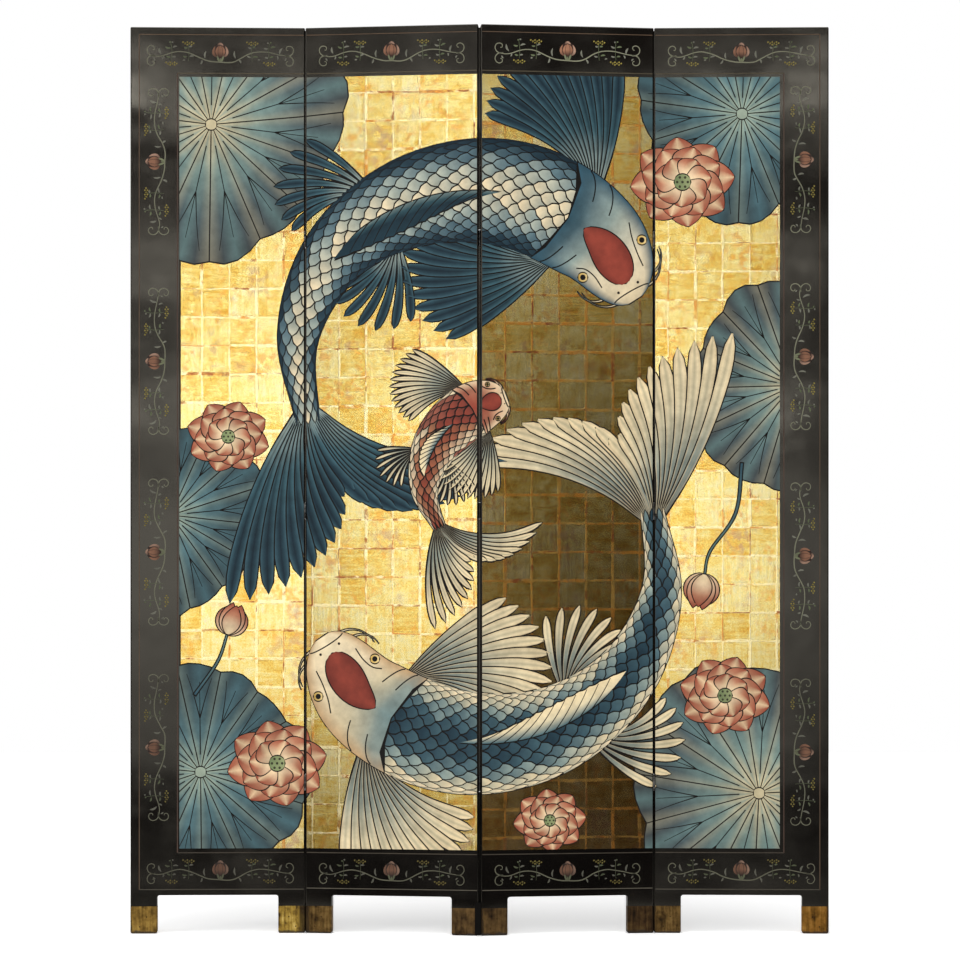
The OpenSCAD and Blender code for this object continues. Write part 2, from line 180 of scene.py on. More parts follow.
leaf = {"width": 0.064, "height": 0.067, "wander": 0.006, "ragged": 0.075,
        # the narrowest and widest seams, as shares of a square
        "seamShares": {1: (0.022, 0.066), 2: (0.022, 0.066), 3: (0.034, 0.072), 4: (0.022, 0.066)},
        # seams with more luck than this have opened on the ground; on panel 3 nearly every seam is deep
        # orange, and its seams are wider and darker
        "opened": 0.88, "deepFrom": {1: 0.6, 2: 0.6, 3: 0.1, 4: 0.6},
        "tones": [(0.0, "#b5812a"), (0.2, "#d2a340"), (0.4, "#e0c064"), (0.6, "#e8d48a"), (0.8, "#e9dba2"),
                  (1.0, "#d8cda8")],
        # where the tone starts, and how far each pattern moves it
        "toneStart": -0.84, "square": 0.3, "blocks": 0.12, "creases": 0.66, "patches": 0.95, "specks": 0.7,
        # where two kinds of clouds are both strong: their number to the metre, detail, shift and range
        "warmed": [(11, 3, (8.2, 0, 2.6), 0.46, 0.62), (60, 4, (1.4, 0, 6.1), 0.44, 0.6)],
        "greyed": [(9, 3, (3.1, 0, 7.7), 0.52, 0.68), (48, 4, (6.6, 0, 0.8), 0.42, 0.6)],
        "warm": "#e2a446", "pinkish": "#b89078", "fold": "#8f7040",
        "shares": {"warm": 0.66, "pinkish": 0.55, "fold": 0.5}, "deepSeam": "#d8923a", "ground": "#a05a2c",
        "seam": {1: "#fbeab2", 2: "#fbeab2", 3: "#d6a854", 4: "#fbeab2"},
        # painted shade and dirt brown each panel's leaf towards the floor; on panel 3 the painted shade is
        # strong and reaches high up
        "dust": "#6b4526", "dusty": {1: 0.22, 2: 0.3, 3: 0.82, 4: 0.3},
        "dustLow": 0.2, "dustTop": {1: 0.5, 2: 0.5, 3: 1.9, 4: 0.8},
        # metallic and roughness, from the leaf to its seams and from its smooth patches to its rough ones
        "metal": (0.97, 0.76), "rough": (0.2, 0.26)}


def goldLeaf(i):
    # Squares of gold-coloured leaf laid on gesso: a metal with soft shine, brighter double seams, and
    # a reddish ground where the leaf has split.
    material, tree = startMaterial(f"goldLeaf{i}")
    coords = panelCoords(tree, i)

    def noise(scale, detail=3.0, shift=None, rough=0.5):
        return clouds(tree, vectors(tree, "ADD", coords, shift) if shift else coords, scale, detail, rough)

    def both(first, second):
        return maths(tree, "MULTIPLY", first, second)

    def mask(name):
        return both(*[eased(tree, noise(*kind), low, high) for *kind, low, high in leaf[name]])

    def luckOf(cell):
        return addNode(tree, "TexWhiteNoise", {"Vector": cell}, noise_dimensions="3D")

    # squares whose edges wander a little, each with its own luck
    drift = vectors(tree, "SUBTRACT", noise(14).outputs["Color"], (0.5, 0.5, 0.5))
    wandered = vectors(tree, "MULTIPLY_ADD", drift, (leaf["wander"], 0, leaf["wander"]), coords)
    squares = vectors(tree, "DIVIDE", wandered, (leaf["width"], 1, leaf["height"]))
    squares = vectors(tree, "MULTIPLY_ADD", squares, (1, 0, 1), (17.37 * i, 0, 0.21 + 0.13 * i))
    ownLuck = luckOf(vectors(tree, "FLOOR", squares))
    edges = vectors(tree, "SUBTRACT", vectors(tree, "FRACTION", squares), (0.5, 0.5, 0.5))
    edges = addNode(tree, "SeparateXYZ", {0: vectors(tree, "ABSOLUTE", edges)}).outputs
    ragged = maths(tree, "MULTIPLY_ADD", noise(75, 5, rough=0.62), leaf["ragged"], -leaf["ragged"] / 2)
    wornSeams = eased(tree, noise(26), 0.3, 0.7, -0.35, 0.35)
    # each seam has its own width, and some have opened on the reddish ground
    lines, splits, riches = [], [], []
    for axis, shift in ((0, (0.5, 7.0, 0)), (2, (0, 3.0, 0.5))):
        seamLuck = luckOf(vectors(tree, "FLOOR", vectors(tree, "ADD", squares, shift)))
        width = spread(tree, maths(tree, "POWER", seamLuck, 2.0), 0, 1, *leaf["seamShares"][i])
        reach = maths(tree, "ADD", maths(tree, "ADD", edges[axis], ragged), width)
        lines.append(eased(tree, reach, 0.488, 0.516))
        kind = addNode(tree, "SeparateColor", {0: seamLuck.outputs["Color"]}).outputs
        for masks, channel, low, high in ((splits, 1, leaf["opened"] - 0.08, leaf["opened"] + 0.12),
                                          (riches, 2, leaf["deepFrom"][i], leaf["deepFrom"][i] + 0.3)):
            worn = maths(tree, "ADD", kind[channel], wornSeams)
            masks.append(both(eased(tree, worn, low, high), lines[-1]))
    seam, opened, deep = [maths(tree, "MAXIMUM", *masks) for masks in (lines, splits, riches)]
    # the folded rim of a leaf shows as a broken line just inside its square
    rim = maths(tree, "ADD", maths(tree, "MAXIMUM", edges[0], edges[2]), ragged)
    rim = maths(tree, "ABSOLUTE", maths(tree, "ADD", rim, -0.425))
    rim = both(eased(tree, rim, 0.006, 0.02, 1.0, 0.0), eased(tree, noise(40, 3, (5.3, 0, 1.9)), 0.5, 0.62))
    # wrinkles and blocks inside a square, drawn out along and across it
    creases = addNode(tree, "Mix", {0: ownLuck, 2: drawnOut(tree, coords, (16, 1, 130), 3),
                                    3: drawnOut(tree, coords, (130, 1, 16), 3)})
    blocks = addNode(tree, "TexVoronoi", {"Vector": wandered, "Scale": 42, "Randomness": 0.85},
                     distance="CHEBYCHEV")
    blocks = addNode(tree, "SeparateColor", {0: blocks.outputs["Color"]})
    patches, specks = noise(30, 5, rough=0.66), noise(230, 3, rough=0.6)
    tone = maths(tree, "MULTIPLY_ADD", ownLuck, leaf["square"], leaf["toneStart"])
    for name, source in (("blocks", blocks), ("creases", creases), ("patches", patches), ("specks", specks)):
        tone = maths(tree, "MULTIPLY_ADD", source, leaf[name], tone)
    colour = addNode(tree, "ValToRGB", {0: tone}, leaf["tones"])
    # here and there the leaf has warmed to orange, or gone pinkish grey
    for name, where in (("warm", mask("warmed")), ("pinkish", mask("greyed")), ("fold", rim)):
        colour = blended(tree, both(where, leaf["shares"][name]), colour, leaf[name])
    seamColour = blended(tree, opened, blended(tree, deep, leaf["seam"][i], leaf["deepSeam"]), leaf["ground"])
    height = addNode(tree, "SeparateXYZ", {0: coords}).outputs[2]
    # painted shade, with some dirt: the leaf darkens towards the floor, most on panel 3
    dust = spread(tree, height, leaf["dustLow"], leaf["dustTop"][i], leaf["dusty"][i], 0.0)
    colour = blended(tree, dust, colour, leaf["dust"])
    seamColour = blended(tree, both(dust, 0.6), seamColour, leaf["dust"])
    seam = both(seam, eased(tree, noise(52, 4, (2.2, 0, 9.4), 0.6), 0.34, 0.6, 0.35, 0.95))
    relief = maths(tree, "MULTIPLY_ADD", seam, 0.5, creases)
    return finished(material, "BsdfPrincipled", {
        "Base Color": blended(tree, seam, colour, seamColour),
        "Metallic": spread(tree, seam, 0, 1, *leaf["metal"]),
        "Roughness": spread(tree, patches, 0.3, 0.7, *leaf["rough"]),
        "Normal": addNode(tree, "Bump", {"Height": relief, "Strength": 0.6, "Distance": 0.0002})})


brass = {"grimeHeight": 0.007, "grime": "#17120d", "edge": "#2b231b",
         # each tone's colours from the dull places to the rubbed ones, and where they lie in the stains
         "tones": {"rubbed": ["#3a2a14", "#705628", "#967638", "#bb9c52"],
                   "yellow": ["#241a10", "#6a5228", "#b0903f", "#dcc070"],
                   "olive": ["#2c2112", "#5a4424", "#7a5f34", "#917646"],
                   "umber": ["#221a12", "#4a3822", "#634c2d", "#7b603a"],
                   "brown": ["#1f1811", "#3c2c1b", "#513c24", "#67502e"],
                   "amber": ["#2c1f10", "#74511f", "#976a2c", "#b58843"]},
         "stops": (0.37, 0.45, 0.53, 0.63),
         # each shoe's tone from the left, and the width of the dark band beside its outer edge
         "shoes": [("rubbed", 0.003), ("yellow", 0.014), ("olive", 0.01), ("umber", 0.004), ("umber", 0.004),
                   ("brown", 0.004), ("olive", 0.004), ("amber", 0.006)]}


def wornBrass(name, tone, i=None, outerEdge=0, band=0):
    # Rolled brass sheet, folded and long handled: streaked down, brown in the dull places, near black at the
    # floor and darker in a band beside its outer edge, bright where rubbed.
    material, tree = startMaterial(f"wornBrass{name}")
    coords = ownCoords(tree)
    blotches = addNode(tree, "TexNoise", {"Vector": coords, "Scale": 34, "Detail": 3, "Distortion": 0.8})
    stains = addNode(tree, "Mix", {0: 0.5, 2: clouds(tree, coords, 60, 6, 0.62), 3: blotches})
    dull = addNode(tree, "Mix", {0: 0.66, 2: drawnOut(tree, coords, (170, 170, 16), 5), 3: stains})
    colour = addNode(tree, "ValToRGB", {0: dull}, list(zip(brass["stops"], brass["tones"][tone])))
    height = addNode(tree, "SeparateXYZ", {0: coords}).outputs[2]
    edge = maths(tree, "MULTIPLY_ADD", stains, -0.03, 0.015)
    # the shoe is made darker towards the floor and beside its outer edge
    low, high = 0.4 * brass["grimeHeight"], brass["grimeHeight"]
    grime = eased(tree, maths(tree, "ADD", height, edge), low, high, 0.85, 0.0)
    if band:
        across = addNode(tree, "SeparateXYZ", {0: panelCoords(tree, i)})
        across = maths(tree, "ABSOLUTE", maths(tree, "SUBTRACT", across, outerEdge))
        beside = eased(tree, maths(tree, "ADD", across, edge), 0.6 * band, 1.2 * band, 0.8, 0.0)
        colour = blended(tree, beside, colour, brass["edge"])
    return finished(material, "BsdfPrincipled", {
        "Base Color": blended(tree, grime, colour, brass["grime"]),
        "Metallic": spread(tree, grime, 0, 1, 0.9, 0.2),
        "Roughness": spread(tree, dull, 0.35, 0.65, 0.58, 0.38),
        "Normal": addNode(tree, "Bump", {"Height": stains, "Strength": 0.35, "Distance": 0.0002})})


def dullSteel():
    # Stamped steel, blackened by oil and age, with the grey of bare metal where knuckles and slots rub.
    material, tree = startMaterial("dullSteel")
    spots = clouds(tree, ownCoords(tree), 160, 5)
    colour = addNode(tree, "ValToRGB", {0: spots}, [(0.35, "#3a3633"), (0.52, "#6d6b69"), (0.68, "#9c9b98")])
    return finished(material, "BsdfPrincipled", {"Base Color": colour, "Metallic": 1.0,
                                                 "Roughness": spread(tree, spots, 0, 1, 0.6, 0.3)})


def sawnPine():
    # Sawn softwood inside the panels, pale with long straight grain.
    material, tree = startMaterial("sawnPine")
    grain = drawnOut(tree, ownCoords(tree), (6, 90, 160), 6)
    colour = addNode(tree, "ValToRGB", {0: grain}, [(0.3, "#8a6238"), (0.5, "#b88d58"), (0.7, "#cfa874")])
    bump = addNode(tree, "Bump", {"Height": grain, "Strength": 0.4, "Distance": 0.0003})
    return finished(material, "BsdfPrincipled", {"Base Color": colour, "Roughness": 0.7, "Normal": bump})


black, steel, pine, tacks = blackLacquer(), dullSteel(), sawnPine(), wornBrass("Tacks", "brown")
for name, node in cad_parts.items():
    if name.endswith("gilt_ground"):
        dress(node, goldLeaf(int(name[6])))
    elif name.endswith("shoe"):
        i, isLeft = int(name[6]), "left" in name
        tone, band = brass["shoes"][2 * i - (2 if isLeft else 1)]
        outerEdge = 0 if isLeft else panelPlaces[i]["width"]
        dress(node, wornBrass(name.title().replace("_", ""), tone, i, outerEdge, band))
    elif name.endswith("shoe_tacks"):
        dress(node, tacks)
    elif name.endswith(("leaves", "pins", "hinge_screws")):
        dress(node, steel)
    elif name.endswith("middle_rails"):
        dress(node, pine)
    else:
        dress(node, black)
print("packed parts have their materials")

# the picture and the ornament lie on the screen drawn out flat: u over all four panels and z up, in mm

flat = {"gap": 0.5, "sunk": 0.2, "line": 3.0, "lift": 0.035, "lineColour": "#130f0c"}
luck = np.random.default_rng(7)


def flatStart(i):
    # where panel i begins on the flat drawing
    return (i - 1) * (panelPlaces[1]["width"] / mm + flat["gap"]) + flat["gap"] / 2


def ramp(*stops):
    colours, places = np.array([linear(c) for c in stops]), np.linspace(0, 1, len(stops))
    return lambda t: np.column_stack([np.interp(t, places, colours[:, k]) for k in range(4)])


def tinted(mix, colour, share):
    return mix + (np.array(linear(colour)) - mix) * share


def smoothLine(points, steps=16):
    # a smooth line through the points: place and left-hand side by share of its length
    p = np.array(points, float)
    p = np.vstack([2 * p[0] - p[1], p, 2 * p[-1] - p[-2]])
    t = np.linspace(0, 1, steps, endpoint=False)[:, None]
    parts = []
    for p0, p1, p2, p3 in zip(p, p[1:], p[2:], p[3:]):
        bend, twist = 2 * p0 - 5 * p1 + 4 * p2 - p3, 3 * p1 - p0 - 3 * p2 + p3
        parts.append(p1 + 0.5 * ((p2 - p0) * t + bend * t ** 2 + twist * t ** 3))
    line = np.vstack(parts + [p[-2:-1]])
    run = np.concatenate([[0], np.cumsum(np.linalg.norm(np.diff(line, axis=0), axis=1))])
    heading = np.gradient(line, run, axis=0)
    heading /= np.linalg.norm(heading, axis=1)[:, None]

    def at(share, across=0.0):
        s = np.asarray(share, float) * run[-1]
        x, z, hx, hz = (np.interp(s, run, v) for v in (line[:, 0], line[:, 1], heading[:, 0], heading[:, 1]))
        return np.stack([x - hz * across, z + hx * across], axis=-1)

    def angle(share):
        s = share * run[-1]
        return math.atan2(np.interp(s, run, heading[:, 1]), np.interp(s, run, heading[:, 0]))
    return {"at": at, "angle": angle, "length": run[-1]}


def makeSlab(long, wide):
    # a closed strip, 1 long, 2 wide and 1 thick, that every stroke of the painter is a bent copy of
    bpy.ops.object.select_all(action="DESELECT")
    bpy.ops.mesh.primitive_grid_add(x_subdivisions=long, y_subdivisions=wide, size=1, location=(0.5, 0, 0))
    slab = bpy.context.object
    slab.scale[1] = 2
    bpy.ops.object.transform_apply(location=True, scale=True)
    bpy.ops.object.mode_set(mode="EDIT")
    bpy.ops.mesh.select_all(action="SELECT")
    bpy.ops.mesh.extrude_region_move(TRANSFORM_OT_translate={"value": (0, 0, 1)})
    bpy.ops.mesh.select_all(action="SELECT")
    bpy.ops.mesh.normals_make_consistent(inside=False)
    bpy.ops.object.mode_set(mode="OBJECT")
    mesh = slab.data.copy()
    points = np.array([v.co for v in mesh.vertices])
    bpy.data.objects.remove(slab)
    return {"mesh": mesh, "a": points[:, 0], "b": points[:, 1], "top": points[:, 2] > 0.5}


slabs = {"scale": makeSlab(6, 2), "short": makeSlab(8, 4), "long": makeSlab(16, 4), "line": makeSlab(12, 1),
         "body": makeSlab(48, 4)}
strokes = []


def stroke(slab, place, height, colour):
    # a runs along the stroke from 0 to 1, and b across it from -1 to 1
    a, b = slabs[slab]["a"], slabs[slab]["b"]
    spots = place(a, b)
    out = np.where(slabs[slab]["top"], height(a, b), -flat["sunk"])
    points = np.column_stack([spots[:, 0], -out, spots[:, 1]]) * mm
    mesh = slabs[slab]["mesh"].copy()
    mesh.vertices.foreach_set("co", points.astype(np.float32).ravel())
    paint = mesh.attributes.new("paint", "FLOAT_COLOR", "POINT")
    paint.data.foreach_set("color", colour(a, b).astype(np.float32).ravel())
    strokes.append((mesh, spots.min(axis=0), spots.max(axis=0)))


def lineColour(a, b):
    return np.tile(linear(flat["lineColour"]), (len(a), 1))


def outlined(slab, place, height, colour):
    # the dark incised line first, and the colour inside it a little higher
    stroke(slab, lambda a, b: place(a, b, 0), height, lineColour)
    stroke(slab, lambda a, b: place(a, b, flat["line"]), lambda a, b: height(a, b) + flat["lift"], colour)


def strip(line, half, level, colour, slab="long", tilt=0.0, edged=True):
    def place(a, b, inset):
        share = (inset + a * (line["length"] - 2 * inset)) / line["length"]
        return line["at"](share, b * np.maximum(half(share) - inset, 0.15))
    if edged:
        outlined(slab, place, lambda a, b: level + tilt * b, colour)
    else:
        stroke(slab, lambda a, b: place(a, b, 0), lambda a, b: level + tilt * b, colour)


def incised(points, half, level, steps=16, taper=0.0):
    # a dark line through the points
    strip(smoothLine(points, steps), lambda q: half - taper * q, level, lineColour, "line", edged=False)


def rounded(q):
    # the height of a half circle over q, which runs from -1 to 1
    return np.sqrt(np.clip(1 - q ** 2, 0, 1))


def tongue(low, high, blunt=0.3):
    # half the width of a blade that widens to its rounded tip
    return lambda s: (low + (high - low) * s) * rounded(np.clip(s - 1 + blunt, 0, 1) / blunt)


def lens(high, power=0.8, lean=1.0):
    # half the width of a leaf that is pointed at both ends
    return lambda s: high * np.sin(math.pi * np.clip(s, 0, 1) ** lean) ** power + 0.1


def shaded(along, rim=None, share=0.5, spine=None):
    # colour along a stroke, with another one towards its rims and down its middle
    along = ramp(*along)
    bright = luck.uniform(0.9, 1.1)

    def colour(a, b):
        mix = along(a)
        if rim:
            mix = tinted(mix, rim, (share * b ** 2)[:, None])
        if spine:
            mix = tinted(mix, spine, (0.6 * np.clip(1 - 2 * np.abs(b), 0, 1))[:, None])
        return mix * (bright, bright, bright, 1)
    return colour


def dot(centre, radius, level, colours, edged=True):
    line = smoothLine([(centre[0] - radius, centre[1]), centre, (centre[0] + radius, centre[1])], 2)
    strip(line, lambda s: radius * rounded(2 * s - 1), level, shaded(colours), "short", edged=edged)


def blade(root, angle, bend, reach):
    spots, spot = [root], np.array(root, float)
    for k in range(5):
        turned = angle + bend * (k + 0.5) / 5
        spot = spot + reach / 5 * np.array([math.cos(turned), math.sin(turned)])
        spots.append(spot)
    return smoothLine(spots, 6)


def fan(roots, angles, bends, reaches, half, level, along, rim, spine):
    for root, angle, bend, reach in zip(roots, angles, bends, reaches):
        colour = shaded(along, rim, 0.75, spine)
        strip(blade(root, angle, bend, reach), tongue(*half), level, colour, tilt=0.12)


# a carp seen from above, laid down from its fins to its eyes: each layer's height over the gold in mm

layers = {"fins": 0.42, "body": 0.5, "barbels": 0.55, "scales": 0.6, "head": 0.96, "web": 0.98, "lines": 1.0,
          "cap": 1.02, "eyes": 1.04, "rays": 1.1, "pupils": 1.12}
# the sizes are for a carp of this girth, and the places are shares of its length from the mouth
anatomy = {"girth": 125, "tail": 0.965, "webRays": 11, "mouth": 0.012, "eye": (0.088, 0.98),
           # the belly fins and the breast fins: place, number of rays, reach and width
           "fins": ((0.57, 7, 190, 14), (0.2, 13, 330, 19)),
           # scales lie between these shares of the length, and each is this many rows long
           "scalesFrom": 0.17, "scalesOver": 0.83, "scaleRows": 2.15,
           "iris": ["#c8a24e", "#e3c88a"], "pupil": ["#15110f"] * 2, "nostril": ["#2a2019"] * 2}


def addCarp(carp):
    body, girth, lift = smoothLine(carp["spine"]), carp["girth"], carp["lift"]
    length, size = body["length"], girth / anatomy["girth"]
    fins = (carp["finAlong"], carp["finRim"], carp["finSpine"])
    level = {name: lift + height for name, height in layers.items()}

    def half(s):
        s = np.clip(s, 1e-3, 1)
        return girth * (2.6 * s ** 0.45 * (1 - s) ** 1.4 + 0.22 * s)

    def onBody(s, angle):
        # angle runs round the body, from 0 along its back
        return body["at"](s, half(s) * np.sin(np.clip(angle, -1.57, 1.57)))

    turned = body["angle"](1.0)
    for side in (-1, 1):
        # the tail's lobes, then the belly fins, then the breast fins
        k = np.arange(carp["tailRays"]) / carp["tailRays"]
        fan([body["at"](anatomy["tail"], side * kk * 0.8 * half(1.0)) for kk in k],
            turned + side * (0.06 + 0.72 * k ** 1.2), carp["sweep"] + side * 0.25 * k,
            size * (225 + 270 * k ** 0.8), (size * 7, size * 21, 0.22), level["fins"] + 0.02 * side, *fins)
        for s, count, reach, wide in anatomy["fins"]:
            k = np.arange(count) / (count - 1)
            fan([onBody(s + 0.035 * (kk - 0.5), side * 1.2) for kk in k],
                body["angle"](s) + side * (1.35 - 1.05 * k), -side * (0.35 + 0.3 * k),
                size * reach * (0.62 + 0.38 * np.sin(math.pi * (0.25 + 0.6 * k))),
                (size * 6, size * wide, 0.3), level["fins"], *fins)
    strip(body, lambda s: half(s) + 2, level["body"], lineColour, "body", edged=False)
    # scales: rows from the head to the tail, staggered, each one's free end over the next row
    pitch, phase = carp["rowPitch"], carp["phase"]
    long = anatomy["scaleRows"] * pitch
    for row in range(int((anatomy["scalesOver"] * length - long) / pitch) + 1):
        s0 = anatomy["scalesFrom"] + row * pitch / length
        here = carp["scaleWidth"] / girth
        if s0 > 0.4:
            here = max(here, min(carp["scaleWidth"] / max(float(half(s0)), 20), 0.62))
        reach = int(1.62 / here) + 1
        for column in range(-reach, reach + 1):
            angle0 = (column + 0.5 * (row % 2)) * here
            if abs(angle0) > 1.5:
                continue

            def place(a, b, inset, s0=s0, angle0=angle0, here=here):
                wide = 0.53 * here * rounded(np.clip(a - 0.4, 0, 1) / 0.6) - inset / half(s0)
                s = s0 + (inset + a * (long - 2 * inset)) / length
                return onBody(s, angle0 + b * np.maximum(wide, 0.004))
            patch = math.sin(7.1 * s0 + phase) + 0.8 * math.sin(2.3 * angle0 + 11 * s0 + 2 * phase)
            share = min(1, abs(angle0) / 1.25) ** 1.3 + 0.12 * luck.uniform(-1, 1)
            tip = carp["palette"](np.array([np.clip(share, 0, 1)]))[0]
            if carp["patch"] and patch > 0.75:
                tip = tinted(tip, carp["patch"], 0.9)
            root = tip * (0.5, 0.6, 0.7, 1)
            outlined("scale", place, lambda a, b: level["scales"] + 0.3 * a,
                     lambda a, b: root + (tip - root) * np.clip(1.5 * a - 0.35, 0, 1)[:, None])

    def web(a, b, inset):
        out, rays = (b + 1) / 2, anatomy["webRays"]
        scallop = 1 - 0.07 * np.abs(np.sin(math.pi * rays * a))
        s = 0.33 + 0.27 * a + 0.075 * out + inset / length * (1 - 2 * a)
        rise = size * 62 * np.sin(math.pi * np.clip(0.12 + 0.86 * a, 0, 1)) ** 0.6 * scallop - 2 * inset
        return body["at"](s, carp["lean"] * (inset + out * np.maximum(rise, 0.5) - 3 * size))

    # the fin on the back lies over to one side: a scalloped web with its rays drawn in
    outlined("body", web, lambda a, b: level["web"] + 0.06 * b,
             lambda a, b: ramp(*carp["finAlong"])(np.clip(0.25 + 0.42 * (b + 1), 0, 1)))
    for k in range(1, anatomy["webRays"]):
        ray = web(np.full(5, k / anatomy["webRays"]), np.linspace(-0.96, 0.8, 5), 0)
        incised(ray, 1.25, level["rays"], 3, 0.5)

    # the head: barbels, a plate, a cap, the gill covers' lines, eyes, nostrils and mouth
    for side in (-1, 1):
        for s, out, reach in ((0.012, 1.3, 95), (0.03, 1.5, 70)):
            strip(blade(onBody(s, side * out), body["angle"](0.03) + side * 1.5, -side * 1.5, size * reach),
                  lambda q: 4.2 - 2.6 * q, level["barbels"], shaded(carp["headAlong"]), "short")

    def plate(a, b, inset):
        s = (inset + a * ((0.2 + 0.03 * np.abs(b) ** 1.5) * length - 2 * inset)) / length
        return onBody(s, b * (1.57 - inset / half(s))) if inset else body["at"](s, b * (half(s) + 2))

    def headColour(a, b):
        mix = tinted(ramp(*carp["headAlong"])(a), carp["headRim"], (np.abs(b) ** 2.5)[:, None])
        # a soft shade runs back from between the eyes, and one along each gill cover
        shade = 0.55 * np.exp(-(b / 0.16) ** 2) * a + 0.5 * np.exp(-((a - 0.93) / 0.07) ** 2)
        return tinted(mix, carp["headShade"], np.clip(shade, 0, 0.8)[:, None])
    outlined("body", plate, lambda a, b: level["head"] + 0 * a, headColour)
    strip(smoothLine([body["at"](s) for s in (0.035, 0.08, 0.12, 0.165)]), lens(size * 44, 0.6, 0.8),
          level["cap"], shaded([carp["cap"]] * 2, carp["capRim"], 0.6))
    for side in (-1, 1):
        for s, out in ((0.168, 0.0), (0.19, 0.012)):
            gill = [onBody(s - 0.03 * math.cos(q * 1.15) + out, side * q) for q in np.linspace(0.55, 1.45, 6)]
            incised(gill, 1.5, level["lines"])
        eye = onBody(anatomy["eye"][0], side * anatomy["eye"][1])
        dot(eye, size * 13, level["eyes"], anatomy["iris"])
        dot(eye, size * 6.5, level["pupils"], anatomy["pupil"], edged=False)
        dot(onBody(0.028, side * 0.42), size * 3.2, level["cap"], anatomy["nostril"], edged=False)
        brow = [onBody(s, side * q) for s, q in ((0.05, 0.75), (0.075, 0.66), (0.1, 0.7), (0.118, 0.86))]
        incised(brow, 1.5, level["lines"])
    mouth = [onBody(anatomy["mouth"] + 0.008 * math.cos(q), q * 1.1) for q in np.linspace(-1.1, 1.1, 7)]
    incised(mouth, 1.5, level["lines"])


lotus = {"folds": 15, "hub": 8, "leaf": 0.12, "veins": 0.24, "heart": 0.26, "flower": 0.34,
         # each ring of petals: number, reach and width as shares of the radius, and turn in petals
         "rings": ((8, 1.0, 0.36, 0.0), (8, 0.8, 0.34, 0.5), (7, 0.56, 0.28, 0.2)), "ringStep": 0.16,
         # a bud's petals from behind: lean, reach and width
         "budPetals": ((-0.5, 0.86, 0.3), (0.5, 0.86, 0.3), (-0.24, 1.0, 0.34), (0.24, 1.0, 0.34),
                       (0, 0.94, 0.36)),
         "pod": ["#76875a", "#98a070"], "seed": ["#3a3a24"] * 2, "stalk": ["#2b4c59", "#66837d"],
         "petals": ["#f6dfb0", "#e8cba4", "#bb8161", "#98462f"], "petalTip": "#963f2f",
         "blue": ["#cabc96", "#6f8984", "#2c4a56", "#142c3a"],
         "teal": ["#9dab98", "#4f7076", "#284550", "#1a3541"]}


def addLotusLeaf(centre, radius, phase, along):
    # a round leaf of folds about its middle, each fold with a forked vein
    folds, hub = lotus["folds"], lotus["hub"]
    centre = np.array(centre, float)

    def rim(angle):
        return radius * (1 + 0.06 * np.sin(3 * angle + phase) + 0.025 * np.sin(7 * angle))

    def spot(angle, share):
        reach = hub + share * (rim(angle) - hub)
        return centre + np.stack([np.cos(angle), np.sin(angle)], axis=-1) * reach[..., None]

    for k in range(folds):
        middle = phase + 2 * math.pi * k / folds

        def place(a, b, inset, middle=middle):
            share = (inset + a * (radius - 2 * inset)) / radius
            angle = middle + b * (math.pi / folds - 0.5 * inset / (hub + 4 + share * radius))
            return spot(angle, share * (1 + 0.045 * (1 - b ** 2) * a ** 3))
        outlined("long", place, lambda a, b: lotus["leaf"] + 0.05 * b, shaded(along, along[0], 0.3, along[1]))
        for fork in (-1, 0, 1):
            shares = np.linspace(0.14, 0.86, 5) if fork == 0 else np.linspace(0.5, 0.92, 5)
            turned = fork * 0.62 * math.pi / folds * np.clip((shares - 0.5) / 0.42, 0, 1) ** 0.8
            incised(spot(middle + turned, shares), 1.35, lotus["veins"], 4, 0.7)
    dot(centre, 15, lotus["heart"], [along[0]] * 2)


def addBlossom(centre, radius, phase):
    level, centre, petals = lotus["flower"], np.array(centre, float), lotus["petals"]
    for count, reach, wide, start in lotus["rings"]:
        for k in range(count):
            angle = phase + 2 * math.pi * (k + start) / count
            heading = np.array([math.cos(angle), 0.86 * math.sin(angle)]) * radius * reach
            line = smoothLine([centre, centre + heading * 0.5, centre + heading], 4)
            strip(line, lens(radius * wide, 0.75, 1.25), level,
                  shaded(petals, lotus["petalTip"], 0.3, petals[0]), tilt=0.05)
        level += lotus["ringStep"]
    dot(centre, radius * 0.17, level, lotus["pod"])
    for k in range(7):
        seed = centre + radius * 0.1 * (k > 0) * np.array([math.cos(k * 1.047), math.sin(k * 1.047)])
        dot(seed, radius * 0.025, level + 0.06, lotus["seed"], edged=False)


def addBud(points, radius):
    # a closed lotus bud on its stalk
    line = smoothLine(points, 12)
    strip(line, lambda q: 5.6 - 1.6 * q, 0.3, shaded(lotus["stalk"]), "body")
    tip, angle, level = line["at"](1.0), line["angle"](1.0), lotus["flower"]
    heading = np.array([math.cos(angle), math.sin(angle)])
    side = np.array([-heading[1], heading[0]])
    for lean, reach, wide in lotus["budPetals"]:
        end = tip + (heading + side * lean * 0.55) * 2 * radius * reach
        bulge = tip + heading * radius * reach + side * lean * radius * 1.15
        strip(smoothLine([tip - heading * 3, bulge, end], 8), lens(radius * wide * 1.7, 0.8, 0.85), level,
              shaded(lotus["petals"], lotus["petalTip"], 0.35), tilt=0.05)
        level += 0.05


blueFin = {"finAlong": ["#acb5a7", "#31545c", "#132e3a", "#173440"],
           "finRim": "#3f616c", "finSpine": "#0d202c"}
creamFin = {"finAlong": ["#203c49", "#55787f", "#e1d2ad", "#f6dfb0"],
            "finRim": "#d2bc92", "finSpine": "#9d967a"}
